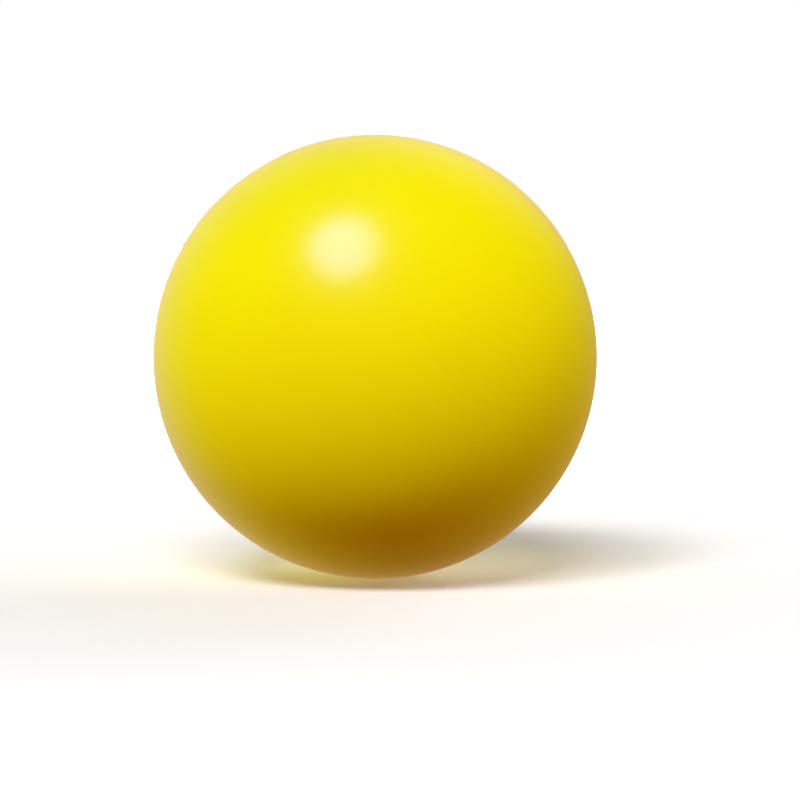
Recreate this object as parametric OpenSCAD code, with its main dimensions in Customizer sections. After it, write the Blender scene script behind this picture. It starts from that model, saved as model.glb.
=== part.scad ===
// Stress ball moulded in soft polyurethane foam.
// The two mould halves meet in the XZ plane, through the centre of the ball. Each half
// is sprayed with coloured skin before the foam is poured in through the gate at the
// rear pole, on +Y. The gate is trimmed flush afterwards and sealed with lacquer.
// The front, on -Y, is the side that the fingers press, and the rear lies in the palm.

/* [Ball] */
// Outer diameter of the ball
ball_d = 76; // [60:1:90]
// Thickness of the coloured skin
skin_t = 1.2; // [0.8:0.1:2]

/* [Parting line] */
// Height of the trimmed flash over the ball's surface
flash_h = 0.08; // [0.05:0.01:0.2]
// Width of the trimmed flash on each side of the parting plane
flash_w = 0.35; // [0.2:0.05:0.6]

/* [Gate] */
// Diameter of the pour hole through the rear skin
gate_d = 7; // [5:0.5:8]
// Diameter of the lacquer seal over the gate
seal_d = 10; // [9:0.5:13]
// Thickness of the lacquer seal, less than the skin's
seal_t = 0.4; // [0.3:0.05:0.6]

/* [Hidden] */

$fn = 128;
ball_r = ball_d / 2;
core_r = ball_r - skin_t;
seat_r = ball_r - seal_t;      // sphere that the lacquer seal lies on
flash_root = skin_t / 2;       // depth of the flash ring inside the skin
flash_land = flash_w / 3;      // flat left on top of the flash by the trimming knife
reach = 2 * ball_r;            // longer than the ball in any direction

skin_yellow = [0.98, 0.90, 0.02];
foam_cream = [0.96, 0.90, 0.62];
seal_yellow = [0.95, 0.84, 0.04];

// Turns an outline round the Y axis. The outline's X is the distance from the axis, and
// its Y is the distance behind the parting plane.
module turned() {
    rotate([-90, 0, 0]) rotate_extrude() children();
}

// Outline of everything behind the parting plane
module rear_quarter() {
    square(reach);
}

// Outline of everything within d / 2 of the axis, behind the parting plane
module rear_bar(d) {
    square([d / 2, reach]);
}

// Outline of the flash on one side of the parting plane
module flash_outline() {
    foot_r = sqrt(ball_r * ball_r - flash_w * flash_w);
    polygon([
        [ball_r - flash_root, 0],
        [ball_r + flash_h, 0],
        [ball_r + flash_h, flash_land],
        [foot_r, flash_w],
        [ball_r - flash_root, flash_w]
    ]);
}

// Outline of half of the skin with its half of the flash
module skin_outline() {
    union() {
        intersection() {
            difference() {
                circle(r = ball_r);
                circle(r = core_r);
            }
            rear_quarter();
        }
        flash_outline();
    }
}

// Outline of the shallow round recess that the lacquer fills
module seal_pocket() {
    difference() {
        rear_bar(seal_d);
        circle(r = seat_r);
    }
}

module front_skin() {
    color(skin_yellow) mirror([0, 1, 0]) turned() skin_outline();
}

module rear_skin() {
    color(skin_yellow)
        turned()
            difference() {
                skin_outline();
                rear_bar(gate_d);
                seal_pocket();
            }
}

// The foam with the stub that fills the gate
module foam_core() {
    color(foam_cream)
        turned()
            union() {
                intersection() {
                    circle(r = core_r);
                    translate([0, -reach]) square([reach, 2 * reach]);
                }
                intersection() {
                    circle(r = seat_r);
                    rear_bar(gate_d);
                }
            }
}

module gate_seal() {
    color(seal_yellow)
        turned()
            intersection() {
                circle(r = ball_r);
                seal_pocket();
            }
}

front_skin();
rear_skin();
foam_core();
gate_seal();
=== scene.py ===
"""A soft foam stress ball: two skin halves that meet at the parting line, the foam core
that fills them, and the lacquer seal over the pour gate at the rear pole."""

import math

import bmesh
import bpy
from mathutils import Matrix, Vector, noise


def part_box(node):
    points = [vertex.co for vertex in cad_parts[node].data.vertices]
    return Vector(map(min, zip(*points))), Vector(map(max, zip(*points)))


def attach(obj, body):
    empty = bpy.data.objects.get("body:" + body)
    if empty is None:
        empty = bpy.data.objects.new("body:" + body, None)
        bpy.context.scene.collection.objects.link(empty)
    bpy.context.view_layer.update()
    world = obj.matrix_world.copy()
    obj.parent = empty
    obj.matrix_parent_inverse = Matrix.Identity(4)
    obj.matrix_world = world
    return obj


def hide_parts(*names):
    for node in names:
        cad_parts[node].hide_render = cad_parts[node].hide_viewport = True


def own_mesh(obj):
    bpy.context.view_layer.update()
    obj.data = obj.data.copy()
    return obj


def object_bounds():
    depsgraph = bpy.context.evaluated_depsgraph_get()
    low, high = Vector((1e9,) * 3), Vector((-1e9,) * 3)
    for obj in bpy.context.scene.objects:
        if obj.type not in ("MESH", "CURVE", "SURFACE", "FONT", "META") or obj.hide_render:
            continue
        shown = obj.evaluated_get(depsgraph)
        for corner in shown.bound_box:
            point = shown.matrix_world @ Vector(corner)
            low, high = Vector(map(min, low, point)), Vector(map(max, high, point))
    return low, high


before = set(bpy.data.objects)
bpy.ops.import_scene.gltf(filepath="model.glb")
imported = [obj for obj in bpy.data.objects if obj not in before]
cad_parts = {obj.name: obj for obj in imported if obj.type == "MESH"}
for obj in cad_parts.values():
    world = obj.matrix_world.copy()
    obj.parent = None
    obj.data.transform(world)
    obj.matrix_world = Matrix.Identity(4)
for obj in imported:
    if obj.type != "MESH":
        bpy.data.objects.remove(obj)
cad_low, cad_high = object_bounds()

# ---------------------------------------------------------------- sizes, in metres

MM = 0.001
BALL_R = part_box("front_skin")[0].y * -1
CORE_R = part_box("foam_core")[0].y * -1
SEAL_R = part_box("gate_seal")[1].x
GATE_R = 3.5 * MM                   # pour hole through the rear skin
SEAL_DEEP = 0.4 * MM                # lacquer recess round the gate
FLASH_HIGH = 0.08 * MM              # trimmed flash at its highest
FLASH_WIDE = 0.35 * MM              # flash on each side of the parting plane
FLASH_LAND = 0.12 * MM              # flat that the trimming knife leaves
SEAM_GAP = 0.006 * MM               # hairline between the two halves
BOND_GAP = 0.02 * MM                # between the skin's inner face and the foam
EDGE_ROUND = 0.03 * MM              # rounding of the skin's cut edges
KNIFE_USUAL = 0.42                  # share of the flash that the knife takes off
KNIFE_SLIP = 0.55                   # share that its long slips add or leave
KNIFE_NICK = 0.35                   # share that its short nicks add or leave
SLOW_SWELL = 0.030 * MM             # long waves in the moulding
QUICK_SWELL = 0.006 * MM            # short waves in the moulding
SHRINK = 0.02 * MM                  # how far the moulding lies inside its true sphere
FOAM_CELL = 1.7 * MM                # width of the cut cells
FOAM_CELL_DEEP = 0.30 * MM
LACQUER_PLAY = 0.04 * MM            # between the lacquer's edge and its recess
LACQUER_ROUND = 0.09 * MM           # rounding of the lacquer's edge
LACQUER_RIM = 0.06 * MM             # height of the rim that the brush leaves
LACQUER_SUNK = 0.11 * MM            # how far it sinks over the cut foam
LACQUER_LOW = 0.05 * MM             # how far the whole dab lies below the skin
BRUSH_MARK = 0.022 * MM
PORE_DEEP = 0.030 * MM
PORE_WIDE = 0.55 * MM
RIM_AT = 0.86                       # this and the next three are shares of the lacquer's radius
RIM_WIDE = 0.10
SUNK_TO = 0.72
PORES_TO = 0.70
BELOW_BALL = cad_low.z

SPIN_AXIS = (0, 1, 0)

TURN_STEPS = 320                    # steps of a full turn round the ball
ARC_STEPS = 88                      # steps of a quarter circle from pole to parting line
LACQUER_TURN_STEPS = 128
LACQUER_ARC_STEPS = 26
STUB_STEPS = 6                      # steps across the end of the foam stub


# ---------------------------------------------------------------- mesh helpers

def add_arc(bm, start, angle, steps, centre=(0, 0, 0)):
    """Sweeps one vertex round the X axis and returns the last vertex of the arc."""
    swept = bmesh.ops.spin(
        bm, geom=[start], cent=centre, axis=(1, 0, 0), angle=angle, steps=steps, use_merge=False
    )
    return next(g for g in swept["geom_last"] if isinstance(g, bmesh.types.BMVert))


def add_line(bm, start, behind, out):
    """Joins start to a new vertex: behind the parting plane, and out from the Y axis."""
    end = bm.verts.new((0, behind, out))
    bm.edges.new((start, end))
    return end


def on_sphere(radius, out):
    """How far behind the parting plane a sphere is, at this distance out from the axis."""
    return math.sqrt(radius * radius - out * out)


def lathe(bm, steps):
    """Turns the whole outline round the Y axis into a closed skin, facing outwards."""
    bmesh.ops.spin(
        bm,
        geom=bm.verts[:] + bm.edges[:],
        cent=(0, 0, 0),
        axis=SPIN_AXIS,
        angle=math.tau,
        steps=steps,
        use_merge=True,
    )
    bmesh.ops.remove_doubles(bm, verts=bm.verts, dist=0.0005 * MM)
    bmesh.ops.recalc_face_normals(bm, faces=bm.faces)


def round_corners(bm, radius, sharper_than=40):
    """Rounds every edge where two faces meet at more than this angle, in degrees."""
    limit = math.radians(sharper_than)
    sharp = [e for e in bm.edges if len(e.link_faces) == 2 and e.calc_face_angle(0) > limit]
    bmesh.ops.bevel(
        bm,
        geom=sharp,
        offset=radius,
        segments=2,
        profile=0.5,
        affect="EDGES",
        material=-1,
        clamp_overlap=True,
    )


def new_object(name, data):
    """Puts a new object with this mesh, lamp or camera into the scene."""
    thing = bpy.data.objects.new(name, data)
    bpy.context.scene.collection.objects.link(thing)
    return thing


def new_solid(bm, name, material):
    """Turns the shape into an object of one material."""
    mesh = bpy.data.meshes.new(name)
    bm.to_mesh(mesh)
    bm.free()
    mesh.materials.append(material)
    return new_object(name, mesh)


def finished(bm, name, finish, body, node):
    """Makes the piece, gives it its finish, and hangs it on its body in the CAD node's place."""
    piece = new_solid(bm, name, finish)
    piece.data.shade_smooth()
    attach(piece, body)
    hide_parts(node)
    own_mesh(piece)
    return piece


# ---------------------------------------------------------------- the pieces

def swell(point):
    """How far a soft moulding stands off its true sphere here: shallow, slow waves."""
    way = point.normalized()
    slow = noise.noise(way * 2.1 + Vector((4.0, 1.0, 7.0)))
    quick = noise.noise(way * 9.0 + Vector((2.0, 8.0, 3.0)))
    return SLOW_SWELL * slow + QUICK_SWELL * quick - SHRINK


def trim(point, side):
    """How much of the flash the knife took off here, from 0 to 1, on one side of the seam."""
    turn = math.atan2(point.x, point.z)
    along = Vector((math.cos(turn), math.sin(turn), side))
    slips = KNIFE_SLIP * noise.noise(along * 6.0)
    nicks = KNIFE_NICK * noise.noise(along * 34.0)
    return min(1.0, max(0.0, KNIFE_USUAL + slips + nicks))


def half_skin(side):
    """One half of the skin. side is -1 for the front and 1 for the rear."""
    bm = bmesh.new()
    rear = side > 0
    foot = math.asin(FLASH_WIDE / BALL_R)
    if rear:
        lip = math.asin(SEAL_R / BALL_R)
        first = bm.verts.new((0, on_sphere(BALL_R, SEAL_R), SEAL_R))
    else:
        lip = 0.0
        first = bm.verts.new((0, BALL_R, 0))
    last = add_arc(bm, first, math.pi / 2 - lip - foot, ARC_STEPS)
    last = add_line(bm, last, FLASH_LAND, BALL_R + FLASH_HIGH)
    last = add_line(bm, last, SEAM_GAP / 2, BALL_R + FLASH_HIGH)
    last = add_line(bm, last, SEAM_GAP / 2, CORE_R + BOND_GAP)
    inner = CORE_R + BOND_GAP
    hole = math.asin(GATE_R / inner) if rear else 0.0
    level = math.asin(SEAM_GAP / 2 / inner)
    last = add_arc(bm, last, -(math.pi / 2 - hole - level), ARC_STEPS)
    if rear:
        seat = BALL_R - SEAL_DEEP
        last = add_line(bm, last, on_sphere(seat, GATE_R), GATE_R)
        last = add_line(bm, last, on_sphere(seat, SEAL_R), SEAL_R)
        bm.edges.new((last, first))
    lathe(bm, TURN_STEPS)
    round_corners(bm, EDGE_ROUND)
    outside = BALL_R - 0.5 * SEAL_DEEP          # the recess and inner wall stay true
    for v in bm.verts:
        out = v.co.length
        if out < outside:
            continue
        over = max(0.0, out - BALL_R)
        way = v.co.normalized()
        if over > 0 and abs(v.co.y) < FLASH_WIDE:
            v.co -= way * over * trim(v.co, side)
        v.co += way * swell(v.co if rear else Vector((v.co.x, -v.co.y, v.co.z)))
    if not rear:
        bmesh.ops.scale(bm, verts=bm.verts, vec=(1, -1, 1))
        bmesh.ops.recalc_face_normals(bm, faces=bm.faces)
    return bm


def foam_core():
    """The foam ball with cut cells all over, and the stub that stood in the pour gate."""
    bm = bmesh.new()
    seat = BALL_R - SEAL_DEEP - BOND_GAP
    core = CORE_R - BOND_GAP
    stub = GATE_R - BOND_GAP
    first = bm.verts.new((0, seat, 0))
    last = add_arc(bm, first, math.asin(stub / seat), STUB_STEPS)
    last = add_line(bm, last, on_sphere(core, stub), stub)
    add_arc(bm, last, math.pi - math.asin(stub / core), 2 * ARC_STEPS)
    lathe(bm, TURN_STEPS)
    for v in bm.verts:
        distances, _ = noise.voronoi(v.co / FOAM_CELL, distance_metric="DISTANCE")
        cell = min(1.0, distances[1] - distances[0])
        v.co -= v.co.normalized() * FOAM_CELL_DEEP * cell
    return bm


def gate_seal():
    """A brushed dab of lacquer in its recess: thick at the rim, sunk over the cut foam."""
    bm = bmesh.new()
    out = SEAL_R - LACQUER_PLAY
    top = BALL_R - 0.01 * MM
    seat = BALL_R - SEAL_DEEP + BOND_GAP
    first = bm.verts.new((0, top, 0))
    last = add_arc(bm, first, math.asin(out / top), LACQUER_ARC_STEPS)
    last = add_line(bm, last, on_sphere(seat, out), out)
    add_arc(bm, last, -math.asin(out / seat), LACQUER_ARC_STEPS)
    lathe(bm, LACQUER_TURN_STEPS)
    round_corners(bm, LACQUER_ROUND)
    top_only = BALL_R - 0.6 * SEAL_DEEP
    for v in bm.verts:
        if v.co.length < top_only:
            continue
        away = math.hypot(v.co.x, v.co.z) / out
        rim = LACQUER_RIM * math.exp(-(((away - RIM_AT) / RIM_WIDE) ** 2))
        sunk = -LACQUER_SUNK * max(0.0, 1 - (away / SUNK_TO) ** 2)
        flat = Vector((v.co.x, 0, v.co.z))
        strokes = BRUSH_MARK * noise.noise(Vector((v.co.x * 420, 5.0, v.co.z * 2600)))
        pores = PORE_DEEP * noise.noise(flat / PORE_WIDE) if away < PORES_TO else 0.0
        v.co.y += rim + sunk + strokes + pores - LACQUER_LOW
    return bm


# ---------------------------------------------------------------- shader helpers

class Wire:
    """One output of a node, so that shader sums read as plain expressions."""

    def __init__(self, bench, socket):
        self.bench = bench
        self.socket = socket

    def maths(self, operation, *terms):
        inputs = dict(enumerate(terms))
        return self.bench.add("ShaderNodeMath", {"operation": operation}, inputs)

    def __add__(self, other):
        return self.maths("ADD", self, other)

    def __radd__(self, other):
        return self.maths("ADD", other, self)

    def __sub__(self, other):
        return self.maths("SUBTRACT", self, other)

    def __rsub__(self, other):
        return self.maths("SUBTRACT", other, self)

    def __mul__(self, other):
        return self.maths("MULTIPLY", self, other)

    def __rmul__(self, other):
        return self.maths("MULTIPLY", other, self)

    def __abs__(self):
        return self.maths("ABSOLUTE", self)

    def above(self, level):
        return self.maths("GREATER_THAN", self, level)

    def root(self):
        return self.maths("SQRT", self)


class Bench:
    """A node tree with the few ways of adding to it that the finishes use."""

    def __init__(self, tree):
        self.tree = tree
        self.tree.nodes.clear()

    def add(self, kind, settings=None, inputs=None, output=0):
        """A node of this kind: settings first, then its sockets' values or links."""
        node = self.tree.nodes.new(kind)
        for name, value in (settings or {}).items():
            if name == "stops":
                self.set_stops(node.color_ramp, value)
            else:
                setattr(node, name, value)
        for name, value in (inputs or {}).items():
            if isinstance(value, Wire):
                self.tree.links.new(value.socket, node.inputs[name])
            else:
                node.inputs[name].default_value = value
        return Wire(self, node.outputs[output]) if node.outputs else None

    def set_stops(self, ramp, stops):
        while len(ramp.elements) < len(stops):
            ramp.elements.new(1.0)
        for element, (place, colour) in zip(ramp.elements, stops):
            element.position = place
            element.color = (*colour, 1.0)

    def object_place(self):
        return self.add("ShaderNodeTexCoord", output="Object")

    def parts_of(self, vector):
        """A vector's three numbers, as three wires."""
        split = self.add("ShaderNodeSeparateXYZ", inputs={0: vector})
        outputs = split.socket.node.outputs
        return [Wire(self, socket) for socket in outputs]

    def blend(self, share, first, second, way="MIX"):
        """Mixes this share of the second colour into the first."""
        settings = {"data_type": "RGBA", "blend_type": way}
        colours = {0: share, 6: first, 7: second}
        return self.add("ShaderNodeMix", settings, colours, output=2)

    def fade(self, value, low, high, start=0.0, end=1.0):
        """start below low, end above high, and a smooth change between them."""
        return self.add(
            "ShaderNodeMapRange",
            {"interpolation_type": "SMOOTHSTEP"},
            {"Value": value, "From Min": low, "From Max": high, "To Min": start, "To Max": end},
        )

    def cloud(self, place, size, detail=2.0, roughness=0.5):
        """Soft noise from 0 to 1 whose patches are about size metres across."""
        return self.add(
            "ShaderNodeTexNoise",
            {"normalize": True},
            {"Vector": place, "Scale": 1 / size, "Detail": detail, "Roughness": roughness},
        )

    def relief(self, height, depth, strength=1.0, under=None):
        """Raises the surface by height times depth metres."""
        inputs = {"Height": height, "Distance": depth, "Strength": strength}
        if under is not None:
            inputs["Normal"] = under
        return self.add("ShaderNodeBump", None, inputs)


def new_finish(name):
    material = bpy.data.materials.new(name)
    material.use_nodes = True
    return material, Bench(material.node_tree)


def surface(bench, **sockets):
    """Ends a finish with one Principled shader. Underscores in names stand for spaces."""
    inputs = {name.replace("_", " "): value for name, value in sockets.items()}
    shader = bench.add("ShaderNodeBsdfPrincipled", None, inputs)
    bench.add("ShaderNodeOutputMaterial", None, {"Surface": shader})


# ---------------------------------------------------------------- the finishes

LEMON = (0.960, 0.870, 0.0008, 1.0)
DEEP_YELLOW = (0.950, 0.850, 0.0006, 1.0)
SEAM_YELLOW = (0.885, 0.730, 0.0030, 1.0)
LACQUER_YELLOW = (0.860, 0.700, 0.0040, 1.0)
LACQUER_DARK = (0.700, 0.520, 0.0060, 1.0)
FOAM_CREAM = (0.860, 0.740, 0.420, 1.0)
# darker foam tone, also used as painted shade in the cell floors
FOAM_TONE_AND_PAINTED_SHADE = (0.700, 0.540, 0.230, 1.0)

SATIN = 0.25                        # roughness of the skin
GLOSSY = 0.17                       # roughness of the lacquer, where it is smoothest
MATTE = 0.86                        # roughness of the cut foam
PEEL_DEEP = 0.012 * MM              # orange peel in the sprayed coat
GRAIN_DEEP = 0.0020 * MM
PINHOLE_APART = 1.9 * MM
PINHOLE_DEEP = 0.12 * MM


def skin_finish():
    """Satin in-mould coat on polyurethane: fine orange peel, pinholes near seam and gate."""
    material, bench = new_finish("yellow_skin")
    place = bench.object_place()
    x, y, z = bench.parts_of(place)
    mottle = bench.cloud(place, 19 * MM, 3.0)
    speck = bench.cloud(place, 0.9 * MM, 1.0, 0.6)
    peel = bench.cloud(place, 1.6 * MM, 2.0, 0.45)
    grain = bench.cloud(place, 0.4 * MM, 1.0)
    off_axis = (x * x + z * z).root()
    seam = bench.fade(abs(y), 0.25 * MM, 0.9 * MM, 1.0, 0.0)
    near_seam = bench.fade(abs(y), 1 * MM, 9 * MM, 1.0, 0.0)
    ragged = off_axis + (mottle - 0.5) * (3 * MM) + (speck - 0.5) * (0.6 * MM)
    brushed = bench.fade(ragged, SEAL_R + 0.6 * MM, SEAL_R + 1.6 * MM, 1.0, 0.0) * y.above(0)
    airy = near_seam + bench.fade(off_axis, 6 * MM, 14 * MM, 1.0, 0.0) * y.above(0)

    colour = bench.blend(bench.fade(mottle, 0.3, 0.7), DEEP_YELLOW, LEMON)
    colour = bench.blend(seam * (0.35 + 0.5 * speck), colour, SEAM_YELLOW)
    colour = bench.blend(brushed * 0.35, colour, LACQUER_YELLOW)

    spots = {"Vector": place, "Scale": 1 / PINHOLE_APART}
    holes = bench.add("ShaderNodeTexVoronoi", {"feature": "F1"}, spots)
    chance = bench.add("ShaderNodeTexVoronoi", {"feature": "F1"}, spots, output="Color")
    luck = bench.parts_of(chance)[0]
    pinhole = bench.fade(holes, 0.05, 0.11, 1.0, 0.0) * luck.above(0.55)
    pinhole = pinhole * bench.fade(airy, 0.2, 0.7)

    gloss = SATIN + 0.04 * (mottle - 0.5) + 0.02 * (speck - 0.5)
    gloss = gloss + 0.08 * seam - 0.10 * brushed
    waves = bench.relief(peel, PEEL_DEEP)
    waves = bench.relief(grain, GRAIN_DEEP, under=waves)
    pitted = bench.relief(pinhole, -PINHOLE_DEEP, under=waves)
    surface(bench, Base_Color=colour, Roughness=gloss, Normal=pitted)
    return material


def seal_finish():
    """Brushed clear-yellow lacquer over cut foam: glossier and darker than the skin."""
    material, bench = new_finish("gate_lacquer")
    place = bench.object_place()
    x, _, z = bench.parts_of(place)
    off_axis = (x * x + z * z).root()
    pool = bench.cloud(place, 2.4 * MM, 3.0)
    streak_place = bench.add(
        "ShaderNodeMapping", None, {"Vector": place, "Scale": (0.18, 1.0, 1.0)}
    )
    streaks = bench.cloud(streak_place, 0.5 * MM, 3.0, 0.6)
    pores = bench.add(
        "ShaderNodeTexVoronoi", {"feature": "F1"}, {"Vector": place, "Scale": 1 / PORE_WIDE}
    )
    over_foam = bench.fade(off_axis, GATE_R - 0.5 * MM, GATE_R + 0.3 * MM, 1.0, 0.0)
    rim = bench.fade(off_axis, SEAL_R - 0.7 * MM, SEAL_R - 0.1 * MM)
    colour = bench.blend(0.25 + 0.4 * pool, LACQUER_YELLOW, LEMON)
    shade = over_foam * bench.fade(pores, 0.25, 0.6, 0.5, 0.1) + rim * 0.35
    colour = bench.blend(shade, colour, LACQUER_DARK)
    gloss = GLOSSY + 0.06 * streaks + 0.03 * over_foam * pool
    bumps = bench.relief(streaks, 0.02 * MM)
    bumps = bench.relief(pores * over_foam, 0.05 * MM, under=bumps)
    surface(bench, Base_Color=colour, Roughness=gloss, Normal=bumps, Coat_Weight=0.3)
    return material


def foam_finish():
    """Cut open cells of cream foam: matte, with painted shade on the sunk cell floors."""
    material, bench = new_finish("cream_foam")
    place = bench.object_place()
    cells = bench.add(
        "ShaderNodeTexVoronoi",
        {"feature": "DISTANCE_TO_EDGE"},
        {"Vector": place, "Scale": 1 / (0.8 * MM)},
    )
    cloudy = bench.cloud(place, 7 * MM, 3.0)
    grain = bench.cloud(place, 0.2 * MM, 2.0)
    # painted shade: the cell floors, sunk by the bump below, are mixed darker; the cloud adds
    # random tone
    floor = bench.fade(cells, 0.03, 0.22)
    colour = bench.blend(0.15 + 0.55 * floor + 0.3 * (cloudy - 0.5), FOAM_CREAM, FOAM_TONE_AND_PAINTED_SHADE)
    rough = MATTE + 0.08 * (grain - 0.5)
    bumps = bench.relief(floor, -0.22 * MM)
    bumps = bench.relief(grain, 0.03 * MM, under=bumps)
    surface(bench, Base_Color=colour, Roughness=rough, Normal=bumps, Sheen_Weight=0.15)
    return material


# ---------------------------------------------------------------- the studio

VIEW_HIGH = math.radians(3.0)       # camera's height angle over the level
VIEW_FAR = 0.5                      # camera to the ball's centre
SENSOR_WIDE = 36.0
BALL_SHARE = 0.2775                 # ball's radius over the frame's width
FRAME_SIDE = 0.031                  # frame's centre to the right of the ball's
FRAME_DOWN = 0.0536                 # frame's centre below the ball's

GLINT_WAY = Vector((-0.242, -0.466, 0.851))     # from the ball to the softbox
GLINT_FAR = 1.0
GLINT_WIDE = 0.49
GLINT_TALL = 0.60
GLINT_WATTS = 7.4

COOL = (0.42, 0.34, 1.00)
WHITE = (1.00, 1.00, 1.00)
IVORY = (1.00, 0.90, 0.84)
SAND = (1.00, 0.79, 0.66)
PEACH = (1.00, 0.40, 0.24)

# Name, degrees from the front round to the right, degrees up, strength, softness, colour
LAMPS = [
    ("key_left", -27, 45, 1.78, 9, WHITE),
    ("key_right", -3, 45, 1.44, 9, WHITE),
    ("left_side", -118, -8, 1.84, 20, IVORY),
    ("right_side", 102, 12, 1.48, 20, SAND),
    ("right_rear", 141, 18, 1.10, 15, WHITE),
    ("rear_low", -160, -30, 1.12, 30, WHITE),
    ("rear_top", 180, 36, 0.30, 20, WHITE),
    ("table_bounce", 3, -45, 0.88, 15, PEACH),
]

SWEEP_FAR = 5.0                     # from the ball to the sweep
TABLE_FAR = 4.0                     # radius of the table top
TABLE_WHITE = (0.90, 0.90, 0.90, 1.0)


def camera():
    data = bpy.data.cameras.new("camera")
    data.sensor_width = SENSOR_WIDE
    seen = BALL_R / math.sqrt(VIEW_FAR**2 - BALL_R**2)
    data.lens = BALL_SHARE * data.sensor_width / seen
    data.shift_x = FRAME_SIDE
    data.shift_y = -FRAME_DOWN
    data.clip_start = 0.01
    data.clip_end = 50.0
    holder = new_object("camera", data)
    back = Vector((0, -math.cos(VIEW_HIGH), math.sin(VIEW_HIGH)))
    holder.location = back * VIEW_FAR
    holder.rotation_euler = (-back).to_track_quat("-Z", "Y").to_euler()
    bpy.context.scene.camera = holder


def glint():
    """An oval softbox, high on the left in front, that only the gloss mirrors."""
    data = bpy.data.lights.new("glint", "AREA")
    data.shape = "ELLIPSE"
    data.size = GLINT_WIDE
    data.size_y = GLINT_TALL
    data.energy = GLINT_WATTS
    data.color = COOL
    holder = new_object("glint", data)
    way = GLINT_WAY.normalized()
    across = Vector((0, 1, 0)).cross(way).normalized()
    turned = Matrix((across, way.cross(across), way)).transposed()
    holder.location = way * GLINT_FAR
    holder.rotation_euler = turned.to_euler()
    holder.visible_camera = False
    holder.visible_diffuse = False


def far_lamp(name, turn, height, strength, softness, colour):
    """Light from far off that only shades, and that the gloss doesn't mirror."""
    data = bpy.data.lights.new(name, "SUN")
    data.angle = math.radians(2 * softness)
    data.energy = strength
    data.color = colour
    data.cycles.use_multiple_importance_sampling = False
    holder = new_object(name, data)
    turn = math.radians(turn)
    height = math.radians(height)
    level = math.cos(height)
    way = Vector((math.sin(turn) * level, -math.cos(turn) * level, math.sin(height)))
    holder.rotation_euler = (-way).to_track_quat("-Z", "Y").to_euler()
    holder.visible_glossy = False


def ramp(bench, level, stops):
    """A colour for each level, from stops of a place from 0 to 1 and its colour."""
    return bench.add("ShaderNodeValToRGB", {"stops": stops}, {0: level})


def room():
    """White walls that are seen but give no light of their own."""
    world = bpy.data.worlds.new("room")
    world.use_nodes = True
    bpy.context.scene.world = world
    world.cycles_visibility.diffuse = False
    world.cycles_visibility.glossy = False
    bench = Bench(world.node_tree)
    white = bench.add("ShaderNodeBackground", None, {"Color": (1, 1, 1, 1), "Strength": 1.0})
    bench.add("ShaderNodeOutputWorld", None, {"Surface": white})


def stage_piece(bm, name, material):
    """A piece of the studio, which neither lights the ball's colour nor throws a shadow on it."""
    piece = new_solid(bm, name, material)
    piece.visible_diffuse = False
    piece.visible_shadow = False
    return piece


def backdrop():
    """What the ball's gloss mirrors: a pale sweep behind it, warmer low down on the right."""
    material, bench = new_finish("pale_sweep")
    side, depth, height = bench.parts_of(bench.object_place())
    behind = ramp(bench, depth * 0.5 + 0.5, [
        (0.50, (0.01, 0.01, 0.01)),
        (0.64, (0.03, 0.03, 0.03)),
        (0.80, (0.20, 0.20, 0.20)),
        (0.90, (0.40, 0.36, 0.34)),
        (0.97, (0.73, 0.49, 0.46)),
    ])
    warm = ramp(bench, (height - side) * 0.35 + 0.5, [
        (0.25, (0.50, 0.30, 0.17)),
        (0.40, (0.50, 0.40, 0.30)),
        (0.50, (0.62, 0.52, 0.66)),
        (0.62, (0.80, 0.80, 0.84)),
    ])
    glow = bench.blend(1.0, behind, warm, way="MULTIPLY")
    light = bench.add("ShaderNodeEmission", None, {"Color": glow, "Strength": 1.5})
    bench.add("ShaderNodeOutputMaterial", None, {"Surface": light})
    bm = bmesh.new()
    bmesh.ops.create_icosphere(bm, subdivisions=5, radius=1.0)
    dome = stage_piece(bm, "sweep", material)
    dome.scale = (SWEEP_FAR, SWEEP_FAR, SWEEP_FAR)
    dome.visible_camera = False


def floor():
    """A pale, matte table top that glows with painted light: dim near the ball, a painted shade
    round it, and white further out, so it fades into the white room.
    """
    material, bench = new_finish("pale_table_painted_glow")
    place = bench.object_place()
    x, y, _ = bench.parts_of(place)
    away = (x * x + y * y).root()
    # painted light: the top glows, least near the ball as painted shade, fully white from 0.45 m
    # out
    painted_glow_share = bench.fade(away, 0.05, 0.45, 0.12, 1.0)
    tooth = bench.cloud(place, 0.6 * MM, 2.0)
    glow = bench.blend(painted_glow_share, (0, 0, 0, 1), (1, 1, 1, 1))
    surface(
        bench,
        Base_Color=TABLE_WHITE,
        Roughness=0.8,
        Normal=bench.relief(tooth, 0.02 * MM),
        Emission_Color=glow,
        Emission_Strength=1.0,
    )
    bm = bmesh.new()
    bmesh.ops.create_circle(bm, cap_ends=True, segments=96, radius=TABLE_FAR)
    bmesh.ops.translate(bm, verts=bm.verts, vec=(0, 0, BELOW_BALL))
    stage_piece(bm, "table_top", material).visible_glossy = False


bpy.context.scene.view_settings.view_transform = "Standard"
camera()
room()
backdrop()
glint()
for lamp in LAMPS:
    far_lamp(*lamp)
floor()

skin = skin_finish()
finished(half_skin(-1), "front_half_skin", skin, "front", "front_skin")
finished(half_skin(1), "rear_half_skin", skin, "rear", "rear_skin")
core = finished(foam_core(), "foam_filling", foam_finish(), "rear", "foam_core")
finished(gate_seal(), "lacquer_seal", seal_finish(), "rear", "gate_seal")
